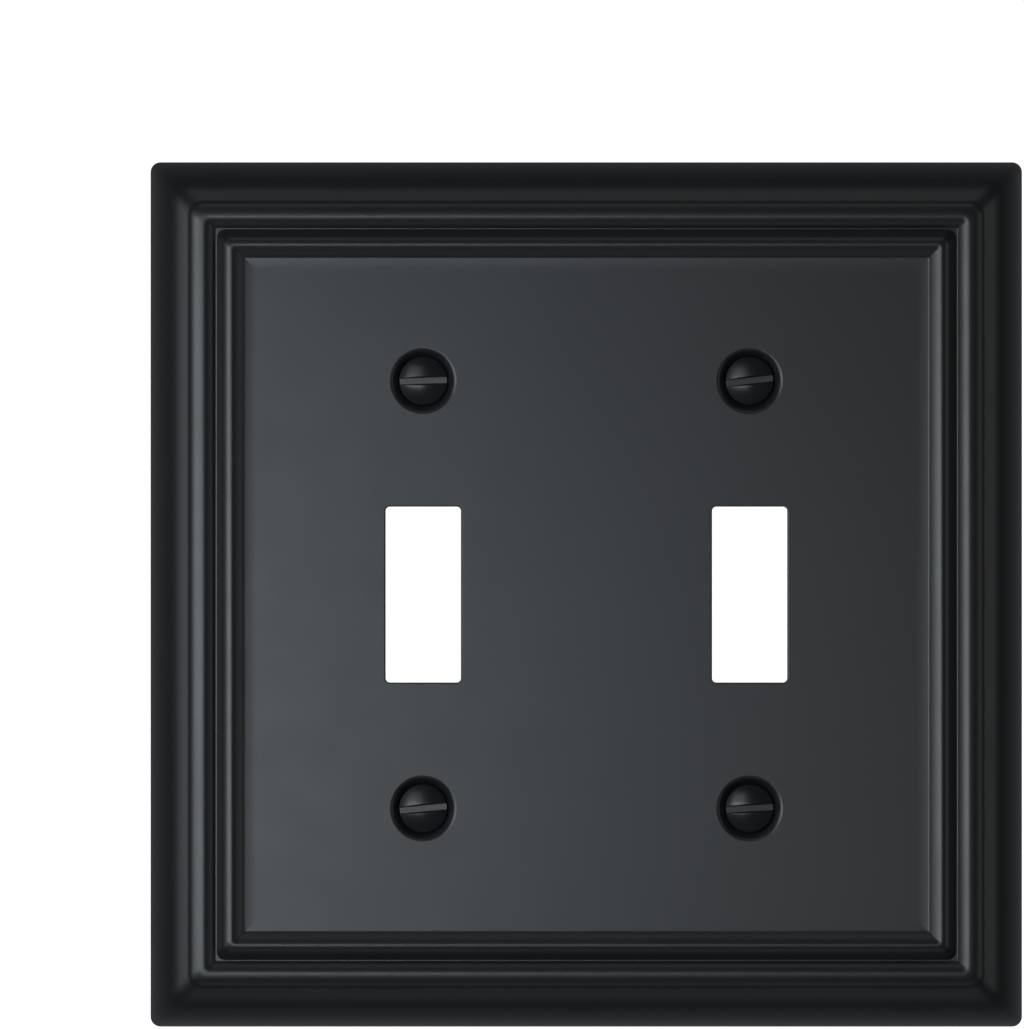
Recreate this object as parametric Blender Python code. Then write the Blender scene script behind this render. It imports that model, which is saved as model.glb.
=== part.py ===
"""Two-gang toggle-switch wall plate: one moulded casting, four screws and their washers.

Metres, +Z up. Every shape is drawn lying on its back, with x to the right, y up the wall
and z out of the wall. An empty then stands it up, so the front faces -Y, the wall is the
plane y = 0 and the origin is the plate's centre on the wall.
"""

import math

import bmesh
import bpy

MM = 0.001

# The casting, seen from the front
PLATE_WIDTH = 123.2 * MM
PLATE_HEIGHT = 122.2 * MM
GANG_SPACING = 46.04 * MM
SCREW_SPACING = 60.33 * MM
TOGGLE_WIDTH = 10.6 * MM
TOGGLE_HEIGHT = 24.8 * MM
TOGGLE_CORNER = 0.6 * MM

# The casting's thickness, as heights above the wall
PANEL = 6.3 * MM
ROOF = 4.4 * MM
BOSS_BACK = 2.5 * MM
BACK_RIM = 1.8 * MM

# The front of the border, from the outer edge to the flat panel. Each row is the distance in
# from the edge, the slope there in degrees (rising inwards) and the radius of the frame's
# corner. Between two rows the surface is one arc, so: an ovolo, a crease, a bead with its
# outer side flatter than its inner one, a narrow groove, a second bead and the panel.
BORDER = (
    (0.00 * MM, 60.5, 1.40 * MM),
    (2.26 * MM, 50.5, 1.90 * MM),
    (3.46 * MM, 39.0, 2.10 * MM),
    (4.31 * MM, 30.0, 2.20 * MM),
    (4.90 * MM, 27.5, 2.20 * MM),
    (5.52 * MM, 27.5, 2.10 * MM),
    (5.52 * MM, 40.0, 2.10 * MM),
    (5.85 * MM, 38.5, 1.90 * MM),
    (6.30 * MM, 24.0, 1.70 * MM),
    (6.92 * MM, 13.0, 1.40 * MM),
    (7.64 * MM, 0.0, 1.10 * MM),
    (7.95 * MM, -12.0, 0.90 * MM),
    (8.33 * MM, -22.0, 0.70 * MM),
    (8.67 * MM, -31.0, 0.50 * MM),
    (9.00 * MM, -37.0, 0.35 * MM),
    (9.34 * MM, -41.0, 0.20 * MM),
    (9.48 * MM, 0.0, 0.05 * MM),
    (9.52 * MM, 0.0, 1.30 * MM),
    (9.66 * MM, 43.0, 1.25 * MM),
    (10.60 * MM, 40.0, 1.10 * MM),
    (11.02 * MM, 27.0, 1.00 * MM),
    (11.35 * MM, 14.0, 0.90 * MM),
    (11.68 * MM, 0.0, 0.70 * MM),
    (11.95 * MM, -16.0, 0.50 * MM),
    (12.37 * MM, -25.0, 0.35 * MM),
    (12.94 * MM, -32.0, 0.20 * MM),
    (13.44 * MM, -38.0, 0.10 * MM),
    (13.68 * MM, -4.0, 0.05 * MM),
    (15.30 * MM, 0.0, 0.05 * MM),
)

# The mouldings are slightly narrower at the sides than at the top and bottom
SIDE_SHARE = 0.983

# The hollow behind, as distance in from the edge and height
HOLLOW = (
    (BACK_RIM, 0.0),
    (2.3 * MM, 1.6 * MM),
    (3.2 * MM, 2.9 * MM),
    (4.6 * MM, 3.8 * MM),
    (6.4 * MM, 4.25 * MM),
    (8.5 * MM, ROOF),
)
HOLLOW_CORNER = 2.0 * MM

# 6-32 oval-head screw, drawn with the plane of the head's rim at z = 0
HEAD_RADIUS = 3.38 * MM
HEAD_HALF_ANGLE = math.radians(41.0)
CROWN_RADIUS = 5.7 * MM
RIM_HEIGHT = 0.12 * MM
SLOT_WIDTH = 1.34 * MM
SLOT_FLOOR_WIDTH = 0.82 * MM
SLOT_DEPTH = 1.3 * MM
THREAD_PITCH = 25.4 / 32 * MM
THREAD_RADIUS = 1.753 * MM
ROOT_RADIUS = 1.32 * MM
THREAD_RUNOUT = 0.04 * MM
NECK_RADIUS = 1.45 * MM
NECK_LENGTH = 0.36 * MM
SCREW_LENGTH = 12.7 * MM
TIP_CHAMFER = 0.25 * MM
SLOT_ANGLES = {
    "top_left": 2.0,
    "top_right": 6.5,
    "bottom_left": 5.5,
    "bottom_right": 3.5,
}

# How the screws sit in the casting
HEAD_SUNK = 0.74 * MM
FIT_GAP = 0.3 * MM
LIP_RADIUS = 0.70 * MM
BOSS_RADIUS = 6.2 * MM
BOSS_DRAFT = 0.5 * MM

# Retaining washer on each screw, between the boss and the wall
WASHER_RADIUS = 3.9 * MM
WASHER_BACK = 0.1 * MM
WASHER_THICKNESS = 0.6 * MM

# Fineness of the meshes
FACET_ANGLE = math.radians(10.0)
CORNER_STEPS = 3
LIP_STEPS = 3
SEAT_SIDES = 28
SCREW_SIDES = 16
CROWN_STEPS = 4
THREAD_ROWS_PER_PITCH = 2
OVERCUT = 1.0 * MM

HEAD_HEIGHT = PANEL - HEAD_SUNK
CROWN_RISE = CROWN_RADIUS - math.sqrt(CROWN_RADIUS**2 - HEAD_RADIUS**2)
CROWN_TOP = RIM_HEIGHT + CROWN_RISE
PLACES = {
    "top_left": (-0.5 * GANG_SPACING, 0.5 * SCREW_SPACING),
    "top_right": (0.5 * GANG_SPACING, 0.5 * SCREW_SPACING),
    "bottom_left": (-0.5 * GANG_SPACING, -0.5 * SCREW_SPACING),
    "bottom_right": (0.5 * GANG_SPACING, -0.5 * SCREW_SPACING),
}
SMOOTH_ANGLE = math.radians(30.0)


# ------------------------------------------------------------------ scene and materials

def clear_scene():
    for old in list(bpy.data.objects):
        bpy.data.objects.remove(old)


def make_material(name, colour, roughness, metallic):
    material = bpy.data.materials.new(name)
    material.use_nodes = True
    shader = material.node_tree.nodes["Principled BSDF"]
    shader.inputs["Base Color"].default_value = (*colour, 1.0)
    shader.inputs["Roughness"].default_value = roughness
    shader.inputs["Metallic"].default_value = metallic
    return material


def make_object(name, mesh_maker, material, parent):
    """A smooth-shaded object from a function that fills a bmesh."""
    mesh = bpy.data.meshes.new(name)
    shape = bmesh.new()
    mesh_maker(shape)
    shape.to_mesh(mesh)
    shape.free()
    mesh.materials.append(material)
    mesh.shade_smooth()
    mesh.set_sharp_from_angle(angle=SMOOTH_ANGLE)
    made = bpy.data.objects.new(name, mesh)
    bpy.context.collection.objects.link(made)
    made.parent = parent
    return made


def make_helper(name, mesh_maker, material, parent, place=(0.0, 0.0)):
    """A shape that only cuts or adds to another one."""
    helper = make_object(name, mesh_maker, material, parent)
    helper.location = (*place, 0.0)
    helper.hide_render = True
    helper.display_type = "WIRE"
    return helper


def combine(target, operation, helper):
    boolean = target.modifiers.new(f"{operation.lower()} {helper.name}", "BOOLEAN")
    boolean.operation = operation
    boolean.solver = "EXACT"
    boolean.object = helper


# ------------------------------------------------------------------ shared shape makers

def add_rings(shape, rings, first_cap=True, last_cap=True):
    """A closed skin through rings of equally many points; each ring runs anticlockwise."""
    rows = [[shape.verts.new(point) for point in ring] for ring in rings]
    for lower, upper in zip(rows, rows[1:]):
        for i, corner in enumerate(lower):
            after = (i + 1) % len(lower)
            shape.faces.new((corner, lower[after], upper[after], upper[i]))
    if first_cap:
        shape.faces.new(reversed(rows[0]))
    if last_cap:
        shape.faces.new(rows[-1])
    return rows


def circle(radius, height, sides):
    turn = 2.0 * math.pi / sides
    return [
        (radius * math.cos(i * turn), radius * math.sin(i * turn), height)
        for i in range(sides)
    ]


def rounded_rectangle(width, length, radius, height):
    """Anticlockwise from the right-hand side, each corner a quarter circle."""
    points = []
    for quarter in range(4):
        middle = math.radians(45.0 + 90.0 * quarter)
        centre_x = math.copysign(0.5 * width - radius, math.cos(middle))
        centre_y = math.copysign(0.5 * length - radius, math.sin(middle))
        for step in range(CORNER_STEPS + 1):
            angle = math.radians(90.0 * (quarter + step / CORNER_STEPS))
            points.append((
                centre_x + radius * math.cos(angle),
                centre_y + radius * math.sin(angle),
                height,
            ))
    return points


def plate_ring(inset, height, corner):
    width = PLATE_WIDTH - 2.0 * SIDE_SHARE * inset
    return rounded_rectangle(width, PLATE_HEIGHT - 2.0 * inset, corner, height)


# ------------------------------------------------------------------ the casting

def border_profile():
    """Points (inset, height, corner radius) along the border, ending at the panel's height."""
    points = [(BORDER[0][0], 0.0, BORDER[0][2])]
    for (start, slope_there, corner_there), (end, slope_here, corner_here) in zip(BORDER, BORDER[1:]):
        if end == start:
            continue
        first, last = math.radians(slope_there), math.radians(slope_here)
        radius = (end - start) / (math.sin(last) - math.sin(first)) if last != first else 0.0
        foot = points[-1][1]
        steps = max(1, math.ceil(abs(last - first) / FACET_ANGLE))
        for step in range(1, steps + 1):
            share = step / steps
            slope = first + (last - first) * share
            if radius:
                along = radius * (math.sin(slope) - math.sin(first))
                rise = radius * (math.cos(first) - math.cos(slope))
            else:
                along = (end - start) * share
                rise = along * math.tan(slope)
            corner = corner_there + (corner_here - corner_there) * share
            points.append((start + along, foot + rise, corner))
    lift = PANEL - points[-1][1]
    return [(inset, height + lift, corner) for inset, height, corner in points]


def casting_shell(shape):
    """From the roof of the hollow, round the back rim and over the border to the panel."""
    hollow = [plate_ring(*point, HOLLOW_CORNER) for point in reversed(HOLLOW)]
    back_edge = plate_ring(0.0, 0.0, BORDER[0][2])
    border = [plate_ring(*point) for point in border_profile()]
    add_rings(shape, [*hollow, back_edge, *border])


def boss(shape):
    add_rings(shape, [
        circle(BOSS_RADIUS, BOSS_BACK, SEAT_SIDES),
        circle(BOSS_RADIUS + BOSS_DRAFT, 0.5 * (ROOF + PANEL), SEAT_SIDES),
    ])


def seat(shape):
    """Clearance hole, countersink and the soft lip where it meets the panel."""
    hole_radius = THREAD_RADIUS + FIT_GAP
    slope = math.tan(HEAD_HALF_ANGLE)
    rim_radius = HEAD_RADIUS + FIT_GAP / math.cos(HEAD_HALF_ANGLE)
    lip_angle = 0.5 * math.pi - HEAD_HALF_ANGLE
    lip_foot = PANEL - LIP_RADIUS * (1.0 - math.cos(lip_angle))
    foot_radius = rim_radius + (lip_foot - HEAD_HEIGHT) * slope
    lip_centre = foot_radius + LIP_RADIUS * math.sin(lip_angle)
    cone_foot = HEAD_HEIGHT - (rim_radius - hole_radius) / slope
    rings = [
        circle(hole_radius, BOSS_BACK - OVERCUT, SEAT_SIDES),
        circle(hole_radius, cone_foot, SEAT_SIDES),
    ]
    for step in range(LIP_STEPS + 1):
        angle = lip_angle * (1.0 - step / LIP_STEPS)
        rings.append(circle(
            lip_centre - LIP_RADIUS * math.sin(angle),
            PANEL - LIP_RADIUS * (1.0 - math.cos(angle)),
            SEAT_SIDES,
        ))
    rings.append(circle(lip_centre, PANEL + OVERCUT, SEAT_SIDES))
    add_rings(shape, rings)


def toggle_opening(shape):
    add_rings(shape, [
        rounded_rectangle(TOGGLE_WIDTH, TOGGLE_HEIGHT, TOGGLE_CORNER, height)
        for height in (ROOF - OVERCUT, PANEL + OVERCUT)
    ])


def make_wall_plate(material, frame):
    plate = make_object("wall_plate", casting_shell, material, frame)
    for name, place in PLACES.items():
        combine(plate, "UNION", make_helper(f"boss_{name}", boss, material, frame, place))
    for name, place in PLACES.items():
        combine(plate, "DIFFERENCE", make_helper(f"seat_{name}", seat, material, frame, place))
    for side, x in (("left", -0.5 * GANG_SPACING), ("right", 0.5 * GANG_SPACING)):
        cutter = make_helper(f"toggle_{side}", toggle_opening, material, frame, (x, 0.0))
        combine(plate, "DIFFERENCE", cutter)


# ------------------------------------------------------------------ screws and washers

def add_thread(shape, bottom_ring, top_ring, low, high):
    """A right-hand thread between two rings: rows follow the helix, root and crest in turn."""
    row_height = THREAD_PITCH / THREAD_ROWS_PER_PITCH
    whole_turn = THREAD_ROWS_PER_PITCH
    count = math.ceil((high - low) / row_height) + 2 * whole_turn + 1
    rows = []
    for row in range(count):
        radius = THREAD_RADIUS if row % THREAD_ROWS_PER_PITCH else ROOT_RADIUS
        line = []
        for side in range(SCREW_SIDES):
            angle = 2.0 * math.pi * side / SCREW_SIDES
            height = low + (row - whole_turn) * row_height + THREAD_PITCH * side / SCREW_SIDES
            if height <= low + THREAD_RUNOUT:
                line.append(bottom_ring[side])
            elif height >= high - THREAD_RUNOUT:
                line.append(top_ring[side])
            else:
                point = (radius * math.cos(angle), radius * math.sin(angle), height)
                line.append(shape.verts.new(point))
        rows.append(line)
    rows += [list(top_ring)] * (whole_turn + 1)
    for row in range(count):
        for side in range(SCREW_SIDES):
            last = side == SCREW_SIDES - 1
            after, shift = (0, whole_turn) if last else (side + 1, 0)
            corners = (
                rows[row][side],
                rows[row + shift][after],
                rows[row + 1 + shift][after],
                rows[row + 1][side],
            )
            distinct = list(dict.fromkeys(corners))
            if len(distinct) > 2:
                shape.faces.new(distinct)


def screw(shape):
    """Tip, thread, neck, countersunk underside, rim and crown."""
    slope = math.tan(HEAD_HALF_ANGLE)
    neck = -(HEAD_RADIUS - NECK_RADIUS) / slope
    tip = add_rings(shape, [
        circle(ROOT_RADIUS - TIP_CHAMFER, -SCREW_LENGTH, SCREW_SIDES),
        circle(ROOT_RADIUS, TIP_CHAMFER - SCREW_LENGTH, SCREW_SIDES),
    ], last_cap=False)
    head = [
        circle(NECK_RADIUS, neck - NECK_LENGTH, SCREW_SIDES),
        circle(NECK_RADIUS, neck, SCREW_SIDES),
        circle(HEAD_RADIUS, 0.0, SCREW_SIDES),
    ]
    edge = math.asin(HEAD_RADIUS / CROWN_RADIUS)
    for step in range(CROWN_STEPS):
        angle = edge * (1.0 - step / CROWN_STEPS)
        rise = CROWN_RADIUS * (math.cos(angle) - math.cos(edge))
        head.append(circle(CROWN_RADIUS * math.sin(angle), RIM_HEIGHT + rise, SCREW_SIDES))
    rows = add_rings(shape, head, first_cap=False, last_cap=False)
    add_dome_top(shape, rows[-1])
    low = TIP_CHAMFER - SCREW_LENGTH
    add_thread(shape, tip[-1], rows[0], low, neck - NECK_LENGTH)


def add_dome_top(shape, ring):
    top = shape.verts.new((0.0, 0.0, CROWN_TOP))
    for i, corner in enumerate(ring):
        shape.faces.new((corner, ring[(i + 1) % len(ring)], top))


def slot(shape):
    """A slot that widens from its floor to the top of the crown, and on above it."""
    reach = HEAD_RADIUS + OVERCUT
    rings = []
    for rise in (0.0, SLOT_DEPTH + OVERCUT):
        half_width = 0.5 * (SLOT_FLOOR_WIDTH + (SLOT_WIDTH - SLOT_FLOOR_WIDTH) * rise / SLOT_DEPTH)
        height = CROWN_TOP - SLOT_DEPTH + rise
        rings.append([
            (-reach, -half_width, height),
            (reach, -half_width, height),
            (reach, half_width, height),
            (-reach, half_width, height),
        ])
    add_rings(shape, rings)


def make_screw(name, material, frame):
    made = make_object(f"screw_{name}", screw, material, frame)
    made.location = (*PLACES[name], HEAD_HEIGHT)
    made.rotation_euler = (0.0, 0.0, math.radians(SLOT_ANGLES[name]))
    cutter = make_helper(f"slot_{name}", slot, material, made)
    combine(made, "DIFFERENCE", cutter)


def washer(shape):
    """A flat ring whose hole clears the thread."""
    hole = THREAD_RADIUS + FIT_GAP
    outline = (
        (hole, WASHER_THICKNESS),
        (hole, 0.0),
        (WASHER_RADIUS, 0.0),
        (WASHER_RADIUS, WASHER_THICKNESS),
    )
    rows = add_rings(shape, [
        circle(radius, height, SCREW_SIDES) for radius, height in outline
    ], first_cap=False, last_cap=False)
    for i in range(SCREW_SIDES):
        after = (i + 1) % SCREW_SIDES
        shape.faces.new((rows[-1][i], rows[-1][after], rows[0][after], rows[0][i]))


def make_washer(name, material, frame):
    made = make_object(f"washer_{name}", washer, material, frame)
    made.location = (*PLACES[name], WASHER_BACK)


# ------------------------------------------------------------------ assembly

def main():
    clear_scene()
    frame = bpy.data.objects.new("wall_plate_frame", None)
    bpy.context.collection.objects.link(frame)
    frame.rotation_euler = (math.radians(90.0), 0.0, 0.0)
    coat = make_material("black_powder_coat", (0.022, 0.023, 0.024), 0.55, 0.0)
    paint = make_material("black_screw_paint", (0.020, 0.020, 0.021), 0.42, 0.0)
    nylon = make_material("natural_nylon", (0.72, 0.71, 0.66), 0.5, 0.0)
    make_wall_plate(coat, frame)
    for name in PLACES:
        make_screw(name, paint, frame)
        make_washer(name, nylon, frame)


main()
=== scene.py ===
"""The looks of a two-gang toggle-switch wall plate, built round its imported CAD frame.

Metres, +Z up. The front faces -Y and the wall is the plane y = 0. Shapes are worked out as
(x, up, out): x to the right, up the wall, and out from the wall. Surfaces are rows of rings,
closed by flat faces. The plate and the washers keep the rings' exact normals, so that soft
mouldings shade as they should. The screws are cut and bevelled, and take weighted normals.
"""
import math

import bpy
import numpy as np
from mathutils import Matrix, Quaternion, Vector
from mathutils.geometry import delaunay_2d_cdt


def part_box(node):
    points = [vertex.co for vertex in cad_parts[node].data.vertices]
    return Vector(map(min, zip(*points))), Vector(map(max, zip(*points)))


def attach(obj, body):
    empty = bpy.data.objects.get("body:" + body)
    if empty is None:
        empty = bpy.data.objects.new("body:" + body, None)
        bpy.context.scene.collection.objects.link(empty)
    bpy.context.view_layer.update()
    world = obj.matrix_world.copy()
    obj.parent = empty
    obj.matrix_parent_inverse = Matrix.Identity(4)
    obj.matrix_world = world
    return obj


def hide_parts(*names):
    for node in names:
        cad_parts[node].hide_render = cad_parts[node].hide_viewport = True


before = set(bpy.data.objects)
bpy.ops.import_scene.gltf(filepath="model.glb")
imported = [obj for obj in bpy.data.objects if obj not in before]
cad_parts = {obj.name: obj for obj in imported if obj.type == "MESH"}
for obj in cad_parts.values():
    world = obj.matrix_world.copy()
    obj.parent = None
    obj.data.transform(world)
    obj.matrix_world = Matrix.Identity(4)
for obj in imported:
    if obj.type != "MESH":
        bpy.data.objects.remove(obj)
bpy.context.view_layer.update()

MM = 0.001

# ------------------------------------------------------------------ sizes

# The casting: its outline and places come from the frame
PLATE_LOW, PLATE_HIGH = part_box("wall_plate")
PLATE_WIDTH = PLATE_HIGH.x - PLATE_LOW.x
PLATE_HEIGHT = PLATE_HIGH.z - PLATE_LOW.z


def screw_places():
    """The axis of each screw as (x, up), from the washer on it."""
    places = {}
    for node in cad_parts:
        if node.startswith("washer_"):
            low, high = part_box(node)
            middle = (0.5 * (low.x + high.x), 0.5 * (low.z + high.z))
            places[node.removeprefix("washer_")] = middle
    return places


PLACES = screw_places()
TOGGLE_PLACES = (
    (PLACES["top_left"][0], 0.0),
    (PLACES["top_right"][0], 0.0),
)
TOGGLE_WIDTH = 10.6 * MM
TOGGLE_HEIGHT = 24.8 * MM
TOGGLE_CORNER = 0.6 * MM
TOGGLE_EDGE = 0.22 * MM
PANEL = 6.3 * MM
ROOF = 4.4 * MM
BOSS_BACK = 2.5 * MM

# The front of the border, as in the part: distance in from the edge, slope there in degrees
# (rising towards the centre) and radius of the frame's corner; one arc between two rows
BORDER = (
    (0.00 * MM, 60.5, 1.40 * MM),
    (2.26 * MM, 50.5, 1.90 * MM),
    (3.46 * MM, 39.0, 2.10 * MM),
    (4.31 * MM, 30.0, 2.20 * MM),
    (4.90 * MM, 27.5, 2.20 * MM),
    (5.52 * MM, 27.5, 2.10 * MM),
    (5.52 * MM, 40.0, 2.10 * MM),
    (5.85 * MM, 38.5, 1.90 * MM),
    (6.30 * MM, 24.0, 1.70 * MM),
    (6.92 * MM, 13.0, 1.40 * MM),
    (7.64 * MM, 0.0, 1.10 * MM),
    (7.95 * MM, -12.0, 0.90 * MM),
    (8.33 * MM, -22.0, 0.70 * MM),
    (8.67 * MM, -31.0, 0.50 * MM),
    (9.00 * MM, -37.0, 0.35 * MM),
    (9.34 * MM, -41.0, 0.20 * MM),
    (9.48 * MM, 0.0, 0.05 * MM),
    (9.52 * MM, 0.0, 1.30 * MM),
    (9.66 * MM, 43.0, 1.25 * MM),
    (10.60 * MM, 40.0, 1.10 * MM),
    (11.02 * MM, 27.0, 1.00 * MM),
    (11.35 * MM, 14.0, 0.90 * MM),
    (11.68 * MM, 0.0, 0.70 * MM),
    (11.95 * MM, -16.0, 0.50 * MM),
    (12.37 * MM, -25.0, 0.35 * MM),
    (12.94 * MM, -32.0, 0.20 * MM),
    (13.44 * MM, -38.0, 0.10 * MM),
    (13.68 * MM, -4.0, 0.05 * MM),
    (15.30 * MM, 0.0, 0.05 * MM),
)

# The mouldings' widths at the two sides, as a share of those at the top and bottom
SIDE_SHARE = 0.983

# The inside of the border behind, from the back rim to the roof, in the same form; the part's
# own hollow is coarser, and its height differs from this one by up to 0.2 mm
HOLLOW = (
    (1.80 * MM, 78.0, 2.00 * MM),
    (2.60 * MM, 60.0, 2.00 * MM),
    (4.60 * MM, 24.0, 2.00 * MM),
    (7.00 * MM, 0.0, 2.00 * MM),
)
BACK_EDGE = 0.10 * MM

# The middle of a rounded edge lies this share of its radius in from both faces
EDGE_MIDDLE = 0.3

# Screws, washers and their seats
HEAD_RADIUS = 3.38 * MM
HEAD_HALF_ANGLE = math.radians(41.0)
CROWN_RADIUS = 5.7 * MM
RIM_HEIGHT = 0.12 * MM
SLOT_WIDTH = 1.34 * MM
SLOT_FLOOR_WIDTH = 0.82 * MM
SLOT_DEPTH = 1.3 * MM
SLOT_EDGE = 0.05 * MM
THREAD_PITCH = 25.4 / 32 * MM
THREAD_RADIUS = 1.753 * MM
ROOT_RADIUS = 1.32 * MM
NECK_RADIUS = 1.45 * MM
NECK_LENGTH = 0.36 * MM
# The share of the neck's length that is straight; the rest leads into the thread
NECK_STRAIGHT = 0.8
SCREW_LENGTH = 12.7 * MM
TIP_CHAMFER = 0.25 * MM
# The thread's profile: it falls by RIDGE_FALL from RIDGE_TOP in half a pitch, kept within 0 and 1
RIDGE_TOP = 1.28
RIDGE_FALL = 2.56
HEAD_SUNK = 0.74 * MM
FIT_GAP = 0.3 * MM
# The rounding at the hole's back end, as a share of half the hole's straight length
HOLE_EDGE_SHARE = 0.3
LIP_RADIUS = 0.70 * MM
BOSS_RADIUS = 6.2 * MM
BOSS_FILLET = 0.7 * MM
BOSS_EDGE = 0.3 * MM
BOSS_DRAFT = math.radians(98.0)
WASHER_RADIUS = 3.9 * MM
WASHER_BACK = 0.1 * MM
WASHER_THICKNESS = 0.6 * MM
WASHER_EDGE = 0.15 * MM
SLOT_ANGLES = {"top_left": 2.0, "top_right": 6.5, "bottom_left": 5.5, "bottom_right": 3.5}

# Round marks that the mould's ejector pins leave on the roof of the hollow
MARK_RADIUS = 2.5 * MM
MARK_DEPTH = 0.12 * MM
MARK_EDGE = 0.05 * MM
MARK_X = (-44.0 * MM, 0.0, 44.0 * MM)
MARK_UP = (-44.0 * MM, 0.0, 44.0 * MM)

# Fineness of the meshes
ARC_STEP = math.radians(2.5)
SMALL_ARC_STEP = 3.0 * ARC_STEP
LEAST_STEPS = 3
CORNER_STEPS = 10
SEAT_SIDES = 96
MARK_SIDES = 48
SCREW_SIDES = 96
WASHER_SIDES = 64
THREAD_ROWS_PER_PITCH = 12
CROWN_STEPS = 24
SOFTEN_SEGMENTS = 3
SOFTEN_ANGLE = math.radians(38.0)

# Triangulation: its kind (all of the convex hull) and its tolerance for distances, in mm
CONVEX_HULL = 0
DISTANCE_TOLERANCE = 1e-6

# Paint: colours, roughness, and depths of its soft unevenness (peel) and its fine grain
COAT_DARK = (0.0080, 0.0086, 0.0092)
COAT_LIGHT = (0.0092, 0.0099, 0.0107)
# The floor of each screw's slot is painted lighter than the rest of the head, with streaks
SLOT_FLOOR_DARK = (0.017, 0.018, 0.019)
SLOT_FLOOR_LIGHT = (0.027, 0.029, 0.031)
COAT_ROUGHNESS = 0.36
SCREW_ROUGHNESS = {"top_left": 0.31, "top_right": 0.33, "bottom_left": 0.34, "bottom_right": 0.30}
GLOSS_SPREAD = 0.015
COAT_PEEL = 0.0012 * MM
COAT_GRAIN = 0.0008 * MM
SCREW_PEEL = 0.0010 * MM
SCREW_GRAIN = 0.0006 * MM
PAINT_IOR = 1.5
PAINT_SPECULAR = 0.5

# Nylon of the washers
NYLON_DARK = (0.66, 0.65, 0.59)
NYLON_LIGHT = (0.76, 0.75, 0.70)
NYLON_SMOOTHEST = 0.42
NYLON_ROUGHEST = 0.55
NYLON_SUBSURFACE = 0.25
NYLON_SUBSURFACE_RADIUS = (1.0, 0.9, 0.8)
NYLON_SUBSURFACE_SCALE = 0.4 * MM
NYLON_GRAIN = 0.004 * MM

# Fineness of the noises, in features a metre, and the part of a noise's range that is used
TONE_SCALE = 45.0
GLOSS_SCALE = 160.0
PEEL_SCALE = 700.0
GRAIN_SCALE = 3600.0
STREAK_SCALE = 3000.0
STREAK_STRETCH = (1.0, 1.0, 0.15)
NYLON_CLOUD_SCALE = 900.0
NYLON_GRAIN_SCALE = 5000.0
RAMP_START, RAMP_END = 0.35, 0.65
NOISE_LOW, NOISE_HIGH = 0.3, 0.7

# The studio
WHITE = (1.0, 1.0, 1.0, 1.0)
FLOOR_HALF = 4.0
FLOOR_COLOUR = (0.9, 0.9, 0.9, 1.0)
FLOOR_ROUGHNESS = 0.8
FLOOR_GLOW = 0.95
BACKDROP_STRENGTH = 1.1
ROOM_COLOUR = (0.95, 1.0, 1.04, 1.0)
ROOM_FRONT = 0.08
ROOM_BEHIND = 1.60
ROOM_FALL = -0.30
ROOM_POWER = 3.0

# Lights: name, degrees to the plate's left and above it, distance, width, height, radiance
KEY = ("key", 26.8, -1.0, 0.485, 0.41, 0.16, 6.35)
KEY_COLOUR = (0.90, 1.0, 1.08)
KEY_ROLL = 11.0
PLATE_FILLS = (
    ("left_fill", 57.0, 0.0, 0.50, 0.20, 0.50, 1.00),
    ("right_fill", -60.0, 0.0, 0.60, 0.18, 0.60, 0.80),
    ("top_fill", 0.0, 60.0, 0.60, 0.60, 0.16, 0.75),
    ("bottom_fill", 0.0, -60.0, 0.60, 0.60, 0.16, 0.40),
    ("low_right_fill", -7.5, -6.5, 0.53, 0.12, 0.12, 0.90),
)
SMALL_PART_FILLS = (
    ("rear_fill", 165.0, 48.0, 0.60, 0.50, 0.24, 3.0),
    ("head_fill", 30.0, 25.0, 0.50, 0.34, 0.28, 1.30),
)

CAMERA_DISTANCE = 2.4
CAMERA_X = -10.5 * MM
CAMERA_UP = 11.3 * MM
VIEW_WIDTH = 144.8 * MM
SENSOR_WIDTH = 36.0
CLIP_START, CLIP_END = 0.01, 50.0

HEAD_HEIGHT = PANEL - HEAD_SUNK
CROWN_RISE = CROWN_RADIUS - math.sqrt(CROWN_RADIUS**2 - HEAD_RADIUS**2)
CROWN_TOP = RIM_HEIGHT + CROWN_RISE
UP, SIDE, DOWN = 0.0, math.radians(90.0), math.radians(180.0)


# ------------------------------------------------------------------ outlines and profiles

def round_outline(radius, sides, centre=(0.0, 0.0)):
    """A circle as points and outward normals, anticlockwise."""
    outline = []
    for i in range(sides):
        angle = 2.0 * math.pi * i / sides
        away = (math.cos(angle), math.sin(angle))
        outline.append(((centre[0] + radius * away[0], centre[1] + radius * away[1]), away))
    return outline


def rectangle_outline(width, height, corner, centre=(0.0, 0.0)):
    """A rounded rectangle as points and outward normals, anticlockwise from the right."""
    outline = []
    for quarter in range(4):
        middle = math.radians(45.0 + 90.0 * quarter)
        hub_x = centre[0] + math.copysign(0.5 * width - corner, math.cos(middle))
        hub_y = centre[1] + math.copysign(0.5 * height - corner, math.sin(middle))
        for step in range(CORNER_STEPS + 1):
            angle = math.radians(90.0 * (quarter + step / CORNER_STEPS))
            away = (math.cos(angle), math.sin(angle))
            outline.append(((hub_x + corner * away[0], hub_y + corner * away[1]), away))
    return outline


def plate_outline(inset, corner):
    """The plate's outline that far in from its top; the mouldings are a little closer at the sides."""
    width = PLATE_WIDTH - 2.0 * SIDE_SHARE * inset
    return rectangle_outline(width, PLATE_HEIGHT - 2.0 * inset, corner)


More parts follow.
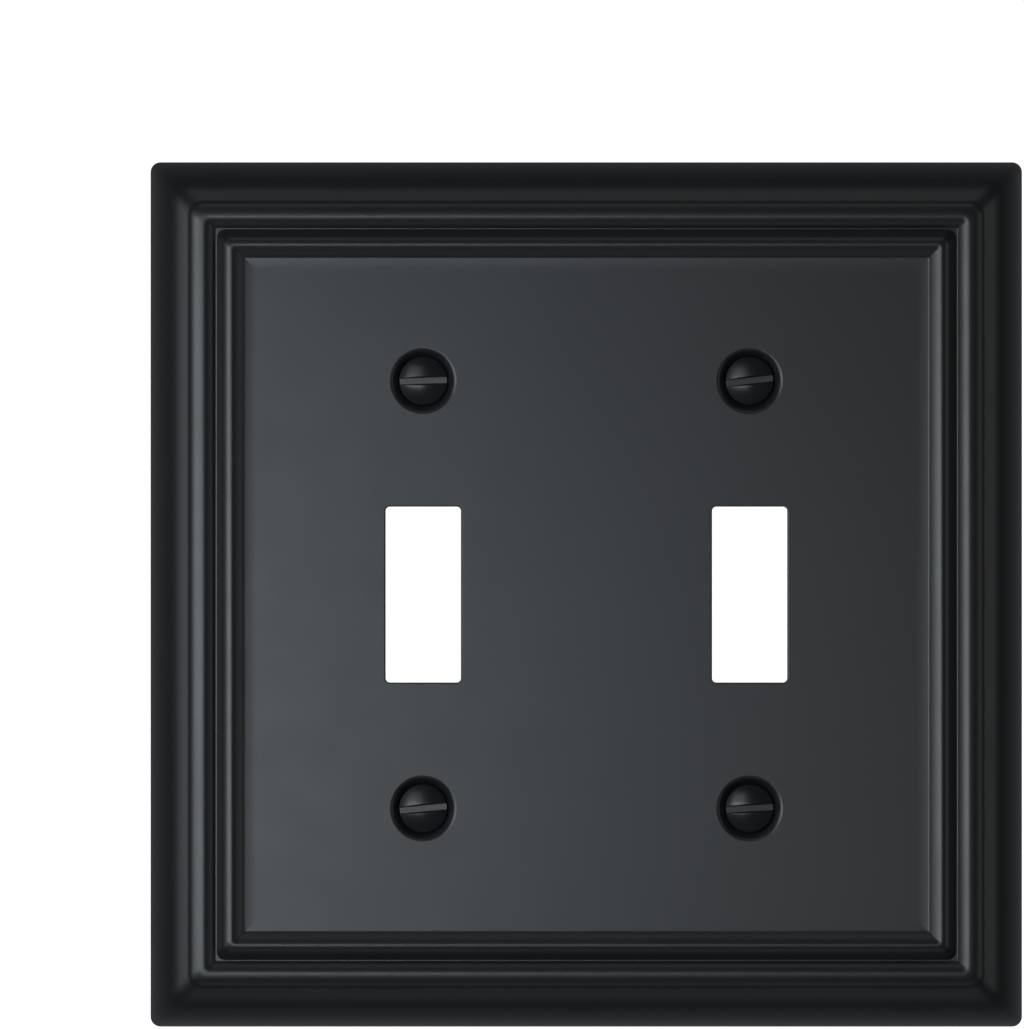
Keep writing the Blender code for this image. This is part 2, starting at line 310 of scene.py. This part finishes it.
def sloped_rows(stations, end_height):
    """Rows (inset, height, slope, corner radius) along arcs between stations."""
    rows = [[stations[0][0], 0.0, math.radians(stations[0][1]), stations[0][2]]]
    for (start, slope_there, corner_there), (end, slope_here, corner_here) in zip(
        stations, stations[1:]
    ):
        first, last = math.radians(slope_there), math.radians(slope_here)
        if end == start:
            rows[-1][2] = 0.5 * (first + last)
            continue
        foot = rows[-1][1]
        bend = math.sin(last) - math.sin(first)
        steps = max(LEAST_STEPS, math.ceil(abs(last - first) / ARC_STEP))
        for step in range(1, steps + 1):
            share = step / steps
            slope = first + (last - first) * share
            if bend:
                along = (end - start) * (math.sin(slope) - math.sin(first)) / bend
                rise = (end - start) * (math.cos(first) - math.cos(slope)) / bend
            else:
                along = (end - start) * share
                rise = along * math.tan(slope)
            corner = corner_there + (corner_here - corner_there) * share
            rows.append([start + along, foot + rise, slope, corner])
    lift = end_height - rows[-1][1]
    return [(inset, height + lift, slope, corner) for inset, height, slope, corner in rows]


def arc(centre, radius, start, end, hollow=False):
    """Rows (reach, height, tilt) on an arc; a hollow arc's surface faces its centre."""
    steps = max(LEAST_STEPS, math.ceil(abs(end - start) / SMALL_ARC_STEP))
    facing = -radius if hollow else radius
    rows = []
    for step in range(steps + 1):
        tilt = start + (end - start) * step / steps
        rows.append((
            centre[0] + facing * math.sin(tilt), centre[1] + facing * math.cos(tilt), tilt
        ))
    return rows


# ------------------------------------------------------------------ a skin of rings

class Skin:
    """Points with exact normals, and the faces over them."""

    def __init__(self):
        self.points = []
        self.normals = []
        self.faces = []

    def ring(self, outline, height, tilt):
        """A ring at that height, whose normals lean away from its middle by tilt."""
        first = len(self.points)
        lean, rise = math.sin(tilt), math.cos(tilt)
        for (x, y), (away_x, away_y) in outline:
            self.points.append((x, y, height))
            self.normals.append((away_x * lean, away_y * lean, rise))
        return list(range(first, len(self.points)))

    def loft(self, rings):
        """Faces between rings, in order along the surface with its outside on the left."""
        for ring, after in zip(rings, rings[1:]):
            for i in range(len(ring)):
                j = (i + 1) % len(ring)
                self.faces.append((ring[i], after[i], after[j], ring[j]))

    def flat(self, outer, holes, upwards):
        """A flat face inside one ring, with holes."""
        loops = [outer, *holes]
        index = [i for loop in loops for i in loop]
        spots = [Vector(self.points[i][:2]) / MM for i in index]
        edges = []
        first = 0
        for loop in loops:
            edges += [(first + i, first + (i + 1) % len(loop)) for i in range(len(loop))]
            first += len(loop)
        points, _, triangles, sources, *_ = delaunay_2d_cdt(
            spots, edges, [], CONVEX_HULL, DISTANCE_TOLERANCE
        )
        shapes = [np.array([self.points[i][:2] for i in hole]) / MM for hole in holes]
        for triangle in triangles:
            centre = sum((points[i] for i in triangle), Vector((0.0, 0.0))) / 3.0
            if any(inside(centre, shape) for shape in shapes):
                continue
            corners = [index[sources[i][0]] for i in triangle]
            self.faces.append(tuple(corners if upwards else corners[::-1]))

    def tip(self, ring, height, upwards):
        """Closes a ring with one point at its middle."""
        middle = len(self.points)
        spots = np.array([self.points[i] for i in ring]).mean(axis=0)
        self.points.append((spots[0], spots[1], height))
        self.normals.append((0.0, 0.0, 1.0 if upwards else -1.0))
        for i in range(len(ring)):
            j = (i + 1) % len(ring)
            self.faces.append((ring[i], ring[j], middle) if upwards else (ring[j], ring[i], middle))

    def mesh(self, name, exact_normals=True):
        """The mesh, stood up against the wall."""
        mesh = bpy.data.meshes.new(name)
        mesh.from_pydata([(x, -out, up) for x, up, out in self.points], [], self.faces)
        mesh.shade_smooth()
        if exact_normals:
            mesh.normals_split_custom_set_from_vertices(
                [(x, -out, up) for x, up, out in self.normals]
            )
        return mesh


def inside(point, shape):
    """Whether a convex anticlockwise outline holds the point."""
    ahead = np.roll(shape, -1, axis=0) - shape
    to_point = np.array(point) - shape
    return bool((ahead[:, 0] * to_point[:, 1] - ahead[:, 1] * to_point[:, 0] > 0.0).all())


def make_piece(name, mesh, material, body, node):
    """A visible piece that moves with a body and is shown in place of a CAD node."""
    mesh.materials.append(material)
    piece = bpy.data.objects.new(name, mesh)
    bpy.context.collection.objects.link(piece)
    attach(piece, body)
    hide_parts(node)
    return piece


# ------------------------------------------------------------------ the casting

def seat_rings(skin, place):
    """From the panel down the countersink and the hole, and out over the boss to the roof."""
    hole = THREAD_RADIUS + FIT_GAP
    slope = math.tan(HEAD_HALF_ANGLE)
    rim_radius = HEAD_RADIUS + FIT_GAP / math.cos(HEAD_HALF_ANGLE)
    lip_angle = SIDE - HEAD_HALF_ANGLE
    lip_foot = PANEL - LIP_RADIUS * (1.0 - math.cos(lip_angle))
    foot_radius = rim_radius + (lip_foot - HEAD_HEIGHT) * slope
    lip_centre = foot_radius + LIP_RADIUS * math.sin(lip_angle)
    cone_foot = HEAD_HEIGHT - (rim_radius - hole) / slope
    corner_run = 0.5 * (cone_foot - BOSS_BACK)
    back_edge = HOLE_EDGE_SHARE * corner_run
    rows = arc((lip_centre, PANEL - LIP_RADIUS), LIP_RADIUS, UP, -lip_angle)
    rows += [
        (hole + corner_run * slope, cone_foot + corner_run, -lip_angle),
        (hole, cone_foot, -0.5 * (lip_angle + SIDE)),
        (hole, cone_foot - corner_run, -SIDE),
    ]
    rows += arc((hole + back_edge, BOSS_BACK + back_edge), back_edge, -SIDE, -DOWN)
    rows += arc((BOSS_RADIUS - BOSS_EDGE, BOSS_BACK + BOSS_EDGE), BOSS_EDGE, DOWN, BOSS_DRAFT)
    reach, height, _ = rows[-1]
    fillet_height = ROOF - BOSS_FILLET
    run = (fillet_height - BOSS_FILLET * math.cos(BOSS_DRAFT) - height) / math.sin(BOSS_DRAFT)
    fillet_reach = reach - run * math.cos(BOSS_DRAFT) + BOSS_FILLET * math.sin(BOSS_DRAFT)
    rows += arc((fillet_reach, fillet_height), BOSS_FILLET, BOSS_DRAFT, DOWN, hollow=True)
    return [
        skin.ring(round_outline(reach, SEAT_SIDES, place), height, tilt)
        for reach, height, tilt in rows
    ]


def toggle_rings(skin, place):
    """From the panel through an opening to the roof, its edges softened by the coat."""
    rows = arc((TOGGLE_EDGE, PANEL - TOGGLE_EDGE), TOGGLE_EDGE, UP, -SIDE)
    rows += arc((TOGGLE_EDGE, ROOF + TOGGLE_EDGE), TOGGLE_EDGE, -SIDE, -DOWN)
    rings = []
    for grow, height, tilt in rows:
        outline = rectangle_outline(
            TOGGLE_WIDTH + 2.0 * grow, TOGGLE_HEIGHT + 2.0 * grow, TOGGLE_CORNER + grow, place
        )
        rings.append(skin.ring(outline, height, tilt))
    return rings


def mark_rings(skin, place):
    """From the floor of a shallow round mark out to the roof."""
    floor = ROOF + MARK_DEPTH
    rows = [(MARK_RADIUS - MARK_EDGE, floor, DOWN), (MARK_RADIUS, floor - MARK_EDGE, -SIDE)]
    rows += arc((MARK_RADIUS + MARK_EDGE, ROOF + MARK_EDGE), MARK_EDGE, -SIDE, -DOWN)
    return [
        skin.ring(round_outline(reach, MARK_SIDES, place), height, tilt)
        for reach, height, tilt in rows
    ]


def make_plate(material):
    """The casting: panel, border, hollow and roof, with its seats, openings and marks."""
    skin = Skin()
    front = [
        skin.ring(plate_outline(inset, corner), height, slope)
        for inset, height, slope, corner in sloped_rows(BORDER, PANEL)
    ]
    rim_corner = BORDER[0][2]
    middle = EDGE_MIDDLE * BACK_EDGE
    land = [
        skin.ring(plate_outline(0.0, rim_corner), BACK_EDGE, SIDE),
        skin.ring(plate_outline(middle, rim_corner), middle, 0.5 * (SIDE + DOWN)),
        skin.ring(plate_outline(BACK_EDGE, rim_corner), 0.0, DOWN),
    ]
    rim_edge = skin.ring(plate_outline(HOLLOW[0][0] - BACK_EDGE, HOLLOW[0][2]), 0.0, DOWN)
    hollow = [
        skin.ring(plate_outline(inset, corner), max(height, BACK_EDGE), slope - DOWN)
        for inset, height, slope, corner in sloped_rows(HOLLOW, ROOF)
    ]
    skin.loft([*front[::-1], *land, rim_edge, *hollow])
    seats = [seat_rings(skin, place) for place in PLACES.values()]
    toggles = [toggle_rings(skin, place) for place in TOGGLE_PLACES]
    marks = [mark_rings(skin, (x, up)) for x in MARK_X for up in MARK_UP]
    for rings in (*seats, *toggles, *marks):
        skin.loft(rings[::-1])
    skin.flat(front[-1], [rings[0] for rings in (*seats, *toggles)], upwards=True)
    skin.flat(hollow[-1], [rings[-1] for rings in (*seats, *toggles, *marks)], upwards=False)
    for rings in marks:
        skin.flat(rings[0], [], upwards=False)
    mesh = skin.mesh("plate_casting")
    return make_piece("plate_casting", mesh, material, "plate", "wall_plate")


# ------------------------------------------------------------------ screws and washers

def thread_rows():
    """Heights and how far the thread stands out there, from the tip to the neck."""
    low = TIP_CHAMFER - SCREW_LENGTH
    high = -(HEAD_RADIUS - NECK_RADIUS) / math.tan(HEAD_HALF_ANGLE) - NECK_LENGTH
    count = math.ceil((high - low) / THREAD_PITCH * THREAD_ROWS_PER_PITCH)
    for row in range(count + 1):
        height = low + (high - low) * row / count
        from_end = min(height - low, high - height) / THREAD_PITCH
        yield height, min(1.0, from_end)


def thread_outline(height, fullness):
    """The outline of the thread at a height: a ridge that climbs one pitch a turn."""
    outline = []
    for i in range(SCREW_SIDES):
        angle = 2.0 * math.pi * i / SCREW_SIDES
        phase = (height / THREAD_PITCH - i / SCREW_SIDES) % 1.0
        ridge = min(1.0, max(0.0, RIDGE_TOP - RIDGE_FALL * abs(2.0 * phase - 1.0)))
        radius = ROOT_RADIUS + (THREAD_RADIUS - ROOT_RADIUS) * ridge * fullness
        away = (math.cos(angle), math.sin(angle))
        outline.append(((radius * away[0], radius * away[1]), away))
    return outline


def screw_mesh(name):
    """The screw at the origin, with its rim's plane at height 0."""
    skin = Skin()
    slope = math.tan(HEAD_HALF_ANGLE)
    neck = -(HEAD_RADIUS - NECK_RADIUS) / slope
    rings = [skin.ring(round_outline(ROOT_RADIUS - TIP_CHAMFER, SCREW_SIDES), -SCREW_LENGTH, DOWN)]
    skin.tip(rings[0], -SCREW_LENGTH, upwards=False)
    for height, fullness in thread_rows():
        rings.append(skin.ring(thread_outline(height, fullness), height, SIDE))
    neck_outline = round_outline(NECK_RADIUS, SCREW_SIDES)
    rings.append(skin.ring(neck_outline, neck - NECK_STRAIGHT * NECK_LENGTH, SIDE))
    rings.append(skin.ring(neck_outline, neck, SIDE))
    rings.append(skin.ring(round_outline(HEAD_RADIUS, SCREW_SIDES), 0.0, SIDE))
    edge = math.asin(HEAD_RADIUS / CROWN_RADIUS)
    for step in range(CROWN_STEPS):
        angle = edge * (1.0 - step / CROWN_STEPS)
        rise = CROWN_RADIUS * (math.cos(angle) - math.cos(edge))
        outline = round_outline(CROWN_RADIUS * math.sin(angle), SCREW_SIDES)
        rings.append(skin.ring(outline, RIM_HEIGHT + rise, angle))
    skin.loft(rings[::-1])
    skin.tip(rings[-1], CROWN_TOP, upwards=True)
    return skin.mesh(name, exact_normals=False)


def slot_mesh():
    """A cutter that widens from the slot's floor to the top of the crown, and on above it."""
    skin = Skin()
    reach = 2.0 * HEAD_RADIUS
    rings = []
    for rise in (0.0, 2.0 * SLOT_DEPTH):
        half = 0.5 * (SLOT_FLOOR_WIDTH + (SLOT_WIDTH - SLOT_FLOOR_WIDTH) * rise / SLOT_DEPTH)
        corners = ((reach, half), (-reach, half), (-reach, -half), (reach, -half))
        outline = [(corner, (0.0, 0.0)) for corner in corners]
        rings.append(skin.ring(outline, CROWN_TOP - SLOT_DEPTH + rise, UP))
    low, high = rings
    skin.loft([high, low])
    skin.faces += [tuple(high), tuple(low[::-1])]
    return skin.mesh("slot_cutter", exact_normals=False)


def cut_and_soften(mesh, cutter_mesh):
    """The mesh less the cutter, with its hard edges rounded, as a new mesh."""
    body = bpy.data.objects.new("uncut_screw", mesh)
    cutter = bpy.data.objects.new("slot_cutter", cutter_mesh)
    bpy.context.collection.objects.link(body)
    bpy.context.collection.objects.link(cutter)
    cut = body.modifiers.new("slot", "BOOLEAN")
    cut.operation = "DIFFERENCE"
    cut.solver = "EXACT"
    cut.object = cutter
    soften = body.modifiers.new("soften", "BEVEL")
    soften.width = SLOT_EDGE
    soften.segments = SOFTEN_SEGMENTS
    soften.limit_method = "ANGLE"
    soften.angle_limit = SOFTEN_ANGLE
    graph = bpy.context.evaluated_depsgraph_get()
    made = bpy.data.meshes.new_from_object(body.evaluated_get(graph))
    bpy.data.objects.remove(body)
    bpy.data.objects.remove(cutter)
    return made


def stand_matrix(x, up, out, degrees):
    """Turns a standing mesh about its axis, as seen from the front, and moves it in place."""
    turn = Matrix.Rotation(-math.radians(degrees), 4, (0.0, 1.0, 0.0))
    return Matrix.Translation((x, -out, up)) @ turn


def make_screws(materials):
    """Four screws, each with its own paint and its slot at its own angle."""
    pieces = []
    for name, (x, up) in PLACES.items():
        mesh = cut_and_soften(screw_mesh(f"screw_{name}"), slot_mesh())
        mesh.transform(stand_matrix(x, up, HEAD_HEIGHT, SLOT_ANGLES[name]))
        mesh.materials.clear()
        piece = make_piece(
            f"oval_head_screw_{name}", mesh, materials[name], f"screw_{name}",
            f"screw_{name}",
        )
        weighted = piece.modifiers.new("even_shading", "WEIGHTED_NORMAL")
        weighted.keep_sharp = True
        pieces.append(piece)
    return pieces


def make_washers(material):
    """Four flat rings with rounded edges."""
    pieces = []
    for name, (x, up) in PLACES.items():
        skin = Skin()
        hole = THREAD_RADIUS + FIT_GAP
        low = WASHER_BACK + WASHER_EDGE
        high = WASHER_BACK + WASHER_THICKNESS - WASHER_EDGE
        rows = arc((WASHER_RADIUS - WASHER_EDGE, high), WASHER_EDGE, UP, SIDE)
        rows += arc((WASHER_RADIUS - WASHER_EDGE, low), WASHER_EDGE, SIDE, DOWN)
        rows += arc((hole + WASHER_EDGE, low), WASHER_EDGE, -DOWN, -SIDE)
        rows += arc((hole + WASHER_EDGE, high), WASHER_EDGE, -SIDE, UP)
        rings = [
            skin.ring(round_outline(reach, WASHER_SIDES, (x, up)), height, tilt)
            for reach, height, tilt in rows
        ]
        skin.loft([*rings, rings[0]])
        mesh = skin.mesh(f"washer_{name}")
        pieces.append(make_piece(
            f"retaining_washer_{name}", mesh, material, f"washer_{name}",
            f"washer_{name}",
        ))
    return pieces


# ------------------------------------------------------------------ materials

def new_material(name):
    """A material that uses nodes, with its nodes and links."""
    material = bpy.data.materials.new(name)
    material.use_nodes = True
    return material, material.node_tree.nodes, material.node_tree.links


def noise(nodes, links, coordinate, scale, detail, roughness=0.5):
    """A cloudy value round 0.5."""
    made = nodes.new("ShaderNodeTexNoise")
    made.inputs["Scale"].default_value = scale
    made.inputs["Detail"].default_value = detail
    made.inputs["Roughness"].default_value = roughness
    links.new(coordinate, made.inputs["Vector"])
    return made.outputs["Fac"]


def blend_colours(nodes, links, factor, first, second):
    """Two colours blended by a noise."""
    ramp = nodes.new("ShaderNodeValToRGB")
    ramp.color_ramp.elements[0].position = RAMP_START
    ramp.color_ramp.elements[1].position = RAMP_END
    ramp.color_ramp.elements[0].color = (*first, 1.0)
    ramp.color_ramp.elements[1].color = (*second, 1.0)
    links.new(factor, ramp.inputs["Fac"])
    return ramp.outputs["Color"]


def spread(nodes, links, factor, low, high):
    """A noise's middle range mapped to low and high."""
    ranged = nodes.new("ShaderNodeMapRange")
    ranged.inputs["From Min"].default_value = NOISE_LOW
    ranged.inputs["From Max"].default_value = NOISE_HIGH
    ranged.inputs["To Min"].default_value = low
    ranged.inputs["To Max"].default_value = high
    links.new(factor, ranged.inputs["Value"])
    return ranged.outputs["Result"]


def bump(nodes, links, height, distance, under=None):
    """A normal that follows a height, laid over another bump where one is given."""
    made = nodes.new("ShaderNodeBump")
    made.inputs["Strength"].default_value = 1.0
    made.inputs["Distance"].default_value = distance
    links.new(height, made.inputs["Height"])
    if under:
        links.new(under, made.inputs["Normal"])
    return made.outputs["Normal"]


def maths(nodes, links, operation, first, second, third=0.0):
    """A Math node whose inputs are sockets or numbers."""
    made = nodes.new("ShaderNodeMath")
    made.operation = operation
    for socket, value in zip(made.inputs, (first, second, third)):
        if isinstance(value, float):
            socket.default_value = value
        else:
            links.new(value, socket)
    return made.outputs["Value"]


def coated_material(name, roughness, peel, grain):
    """A dull painted skin: fine grain over a softer unevenness, and slightly uneven gloss."""
    material, nodes, links = new_material(name)
    shader = nodes["Principled BSDF"]
    where = nodes.new("ShaderNodeTexCoord").outputs["Object"]
    broad = noise(nodes, links, where, TONE_SCALE, detail=2.0)
    tone = blend_colours(nodes, links, broad, COAT_DARK, COAT_LIGHT)
    links.new(tone, shader.inputs["Base Color"])
    gloss = noise(nodes, links, where, GLOSS_SCALE, detail=3.0)
    links.new(
        spread(nodes, links, gloss, roughness - GLOSS_SPREAD, roughness + GLOSS_SPREAD),
        shader.inputs["Roughness"],
    )
    broad_height = noise(nodes, links, where, PEEL_SCALE, detail=1.0)
    soft = bump(nodes, links, broad_height, peel)
    fine_height = noise(nodes, links, where, GRAIN_SCALE, detail=2.0, roughness=0.6)
    fine = bump(nodes, links, fine_height, grain, under=soft)
    links.new(fine, shader.inputs["Normal"])
    shader.inputs["IOR"].default_value = PAINT_IOR
    shader.inputs["Specular IOR Level"].default_value = PAINT_SPECULAR
    return material


def lighten_slot_floor(material):
    """Lightens the paint on the floor of a screw's slot, with streaks across it."""
    nodes, links = material.node_tree.nodes, material.node_tree.links
    shader = nodes["Principled BSDF"]
    where = nodes.new("ShaderNodeTexCoord").outputs["Object"]
    split = nodes.new("ShaderNodeSeparateXYZ")
    links.new(where, split.inputs["Vector"])
    floor = CROWN_TOP + HEAD_HEIGHT - SLOT_DEPTH
    on_floor = maths(nodes, links, "COMPARE", split.outputs["Y"], -floor, 0.5 * SLOT_EDGE)
    stretch = nodes.new("ShaderNodeVectorMath")
    stretch.operation = "MULTIPLY"
    stretch.inputs[1].default_value = STREAK_STRETCH
    links.new(where, stretch.inputs[0])
    streaks = noise(nodes, links, stretch.outputs["Vector"], STREAK_SCALE, detail=2.0)
    floor_tone = blend_colours(nodes, links, streaks, SLOT_FLOOR_DARK, SLOT_FLOOR_LIGHT)
    mix = nodes.new("ShaderNodeMix")
    mix.data_type = "RGBA"
    links.new(on_floor, mix.inputs["Factor"])
    links.new(shader.inputs["Base Color"].links[0].from_socket, mix.inputs["A"])
    links.new(floor_tone, mix.inputs["B"])
    links.new(mix.outputs["Result"], shader.inputs["Base Color"])
    return material


def nylon_material():
    """Natural nylon: pale, dull and slightly translucent."""
    material, nodes, links = new_material("washer_nylon")
    shader = nodes["Principled BSDF"]
    where = nodes.new("ShaderNodeTexCoord").outputs["Object"]
    cloud = noise(nodes, links, where, NYLON_CLOUD_SCALE, detail=2.0)
    tone = blend_colours(nodes, links, cloud, NYLON_DARK, NYLON_LIGHT)
    links.new(tone, shader.inputs["Base Color"])
    gloss = spread(nodes, links, cloud, NYLON_SMOOTHEST, NYLON_ROUGHEST)
    links.new(gloss, shader.inputs["Roughness"])
    shader.inputs["Subsurface Weight"].default_value = NYLON_SUBSURFACE
    shader.inputs["Subsurface Radius"].default_value = NYLON_SUBSURFACE_RADIUS
    shader.inputs["Subsurface Scale"].default_value = NYLON_SUBSURFACE_SCALE
    grain = noise(nodes, links, where, NYLON_GRAIN_SCALE, detail=2.0)
    links.new(bump(nodes, links, grain, NYLON_GRAIN), shader.inputs["Normal"])
    return material


# ------------------------------------------------------------------ studio

def make_floor():
    """A pale floor level with the plate's lower edge, left out of reflections and bounced light."""
    mesh = bpy.data.meshes.new("floor")
    sides = ((-1.0, -1.0), (1.0, -1.0), (1.0, 1.0), (-1.0, 1.0))
    corners = [(x * FLOOR_HALF, y * FLOOR_HALF, PLATE_LOW.z) for x, y in sides]
    mesh.from_pydata(corners, [], [(0, 1, 2, 3)])
    material, nodes, links = new_material("pale_floor")
    shader = nodes["Principled BSDF"]
    shader.inputs["Base Color"].default_value = FLOOR_COLOUR
    shader.inputs["Roughness"].default_value = FLOOR_ROUGHNESS
    shader.inputs["Emission Color"].default_value = WHITE
    shader.inputs["Emission Strength"].default_value = FLOOR_GLOW
    mesh.materials.append(material)
    floor = bpy.data.objects.new("floor", mesh)
    bpy.context.collection.objects.link(floor)
    floor.visible_glossy = False
    floor.visible_diffuse = False


def soft_box(name, left, up, distance, width, height, radiance, colour=(1.0, 1.0, 1.0), roll=0.0):
    """An area light that faces the plate from that many degrees to its left and above.

    A roll lowers its right end, as seen from the light.
    """
    left, up = math.radians(left), math.radians(up)
    data = bpy.data.lights.new(name, "AREA")
    data.shape = "RECTANGLE"
    data.size = width
    data.size_y = height
    data.energy = radiance * math.pi * width * height
    data.color = colour
    light = bpy.data.objects.new(name, data)
    bpy.context.collection.objects.link(light)
    light.location = distance * Vector((
        -math.sin(left) * math.cos(up), -math.cos(left) * math.cos(up), math.sin(up)
    ))
    facing = (-light.location).to_track_quat("-Z", "Y")
    light.rotation_euler = (facing @ Quaternion((0.0, 0.0, 1.0), -math.radians(roll))).to_euler()
    return light


def collection_of(name, pieces):
    """A collection that is only a list of what a light shines on."""
    made = bpy.data.collections.new(name)
    for piece in pieces:
        made.objects.link(piece)
    return made


def make_surroundings():
    """White to the camera; to everything else a dim room that is brighter behind the plate."""
    world = bpy.data.worlds.new("studio")
    bpy.context.scene.world = world
    world.use_nodes = True
    nodes, links = world.node_tree.nodes, world.node_tree.links
    seen = nodes["Background"]
    seen.inputs["Color"].default_value = WHITE
    seen.inputs["Strength"].default_value = BACKDROP_STRENGTH
    direction = nodes.new("ShaderNodeTexCoord").outputs["Generated"]
    split = nodes.new("ShaderNodeSeparateXYZ")
    links.new(direction, split.inputs["Vector"])
    behind = maths(nodes, links, "MAXIMUM", split.outputs["Y"], 0.0)
    glow = maths(nodes, links, "POWER", behind, ROOM_POWER)
    lower = maths(nodes, links, "MULTIPLY_ADD", split.outputs["Z"], ROOM_FALL, 1.0)
    strength = maths(nodes, links, "MULTIPLY_ADD", glow, ROOM_BEHIND, ROOM_FRONT)
    room = nodes.new("ShaderNodeBackground")
    room.inputs["Color"].default_value = ROOM_COLOUR
    links.new(maths(nodes, links, "MULTIPLY", strength, lower), room.inputs["Strength"])
    path = nodes.new("ShaderNodeLightPath")
    mix = nodes.new("ShaderNodeMixShader")
    links.new(path.outputs["Is Camera Ray"], mix.inputs["Fac"])
    links.new(room.outputs["Background"], mix.inputs[1])
    links.new(seen.outputs["Background"], mix.inputs[2])
    links.new(mix.outputs["Shader"], nodes["World Output"].inputs["Surface"])


def make_lights(plate_only, small_parts_only):
    """A long soft box at the left for everything, and fills that each light some of the pieces."""
    soft_box(*KEY, KEY_COLOUR, KEY_ROLL)
    for lit, fills in ((plate_only, PLATE_FILLS), (small_parts_only, SMALL_PART_FILLS)):
        for fill in fills:
            soft_box(*fill).light_linking.receiver_collection = lit


def make_camera():
    """A long lens straight on to the plate."""
    data = bpy.data.cameras.new("camera")
    data.sensor_fit = "HORIZONTAL"
    data.sensor_width = SENSOR_WIDTH
    data.lens = data.sensor_width * CAMERA_DISTANCE / VIEW_WIDTH
    data.clip_start = CLIP_START
    data.clip_end = CLIP_END
    camera = bpy.data.objects.new("camera", data)
    bpy.context.collection.objects.link(camera)
    camera.location = (CAMERA_X, -CAMERA_DISTANCE, CAMERA_UP)
    camera.rotation_euler = (math.radians(90.0), 0.0, 0.0)
    bpy.context.scene.camera = camera


# ------------------------------------------------------------------ assembly

coat = coated_material("powder_coat", COAT_ROUGHNESS, COAT_PEEL, COAT_GRAIN)
screw_materials = {}
for screw, gloss_level in SCREW_ROUGHNESS.items():
    paint = coated_material(f"screw_paint_{screw}", gloss_level, SCREW_PEEL, SCREW_GRAIN)
    # Each screw's slot floor is painted lighter than the rest of its head
    screw_materials[screw] = lighten_slot_floor(paint)
plate = make_plate(coat)
small_parts = make_screws(screw_materials) + make_washers(nylon_material())
make_floor()
make_surroundings()
make_lights(collection_of("plate_only", [plate]), collection_of("small_parts", small_parts))
make_camera()
bpy.context.scene.view_settings.view_transform = "Standard"
